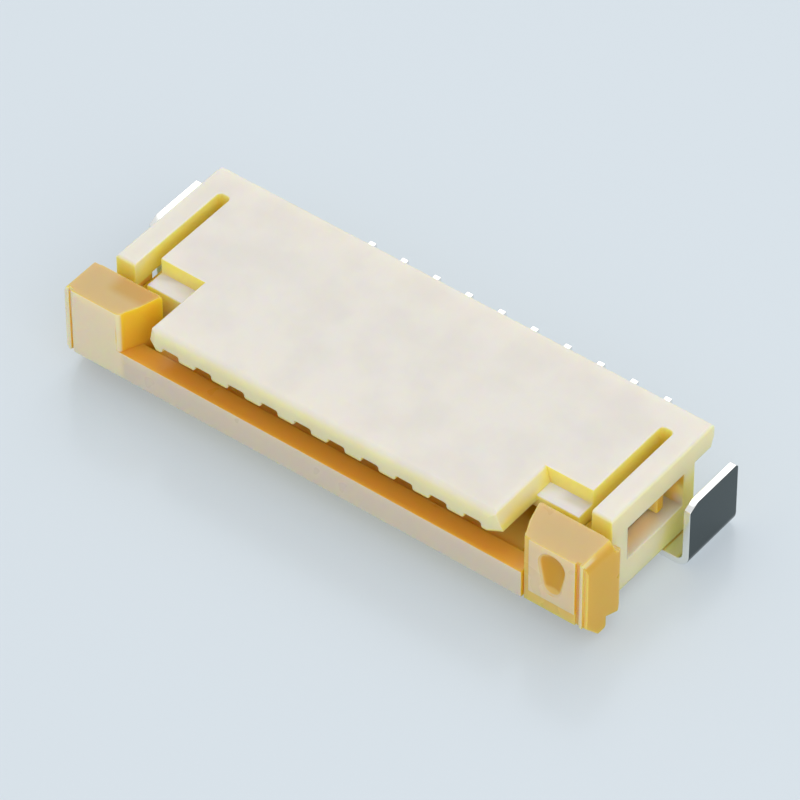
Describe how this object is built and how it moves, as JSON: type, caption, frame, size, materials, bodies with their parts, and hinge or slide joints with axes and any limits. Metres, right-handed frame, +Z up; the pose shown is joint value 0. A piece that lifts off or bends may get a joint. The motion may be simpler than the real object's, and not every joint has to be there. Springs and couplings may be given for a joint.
{
  "type": "fpc connector",
  "caption": "Low surface-mount connector for a flat flexible cable: ivory housing, amber pull-out slider that clamps the cable, a row of contacts and bent solder tabs.",
  "frame": {"origin": "middle of the outline on the board plane: the underside of the contacts' and solder tabs' feet", "axes": "+X along the row of contacts, to the block with the hollow; the cable enters from -Y; +Z up from the board"},
  "size_m": [0.0162, 0.008, 0.0028],
  "materials": {
    "housing_plastic": "ivory heat-resistant moulding, satin, slightly translucent",
    "slider_plastic": "translucent amber moulding, semi-gloss",
    "contact_plate": "bright tin plate over stamped bronze strip",
    "tab_plate": "bright tin plate over bent brass sheet"
  },
  "bodies": {
    "housing": {"housing": "housing_plastic", "contact_01": "contact_plate", "contact_02": "contact_plate", "contact_03": "contact_plate", "contact_04": "contact_plate", "contact_05": "contact_plate", "contact_06": "contact_plate", "contact_07": "contact_plate", "contact_08": "contact_plate", "contact_09": "contact_plate", "contact_10": "contact_plate", "solder_tab_left": "tab_plate", "solder_tab_right": "tab_plate"},
    "slider": {"slider": "slider_plastic"}
  },
  "joints": [
    {"name": "slider_slide", "type": "slide", "parent": "housing", "child": "slider", "axis": [0, -1, 0], "range_m": [0, 0.0015]}
  ]
}
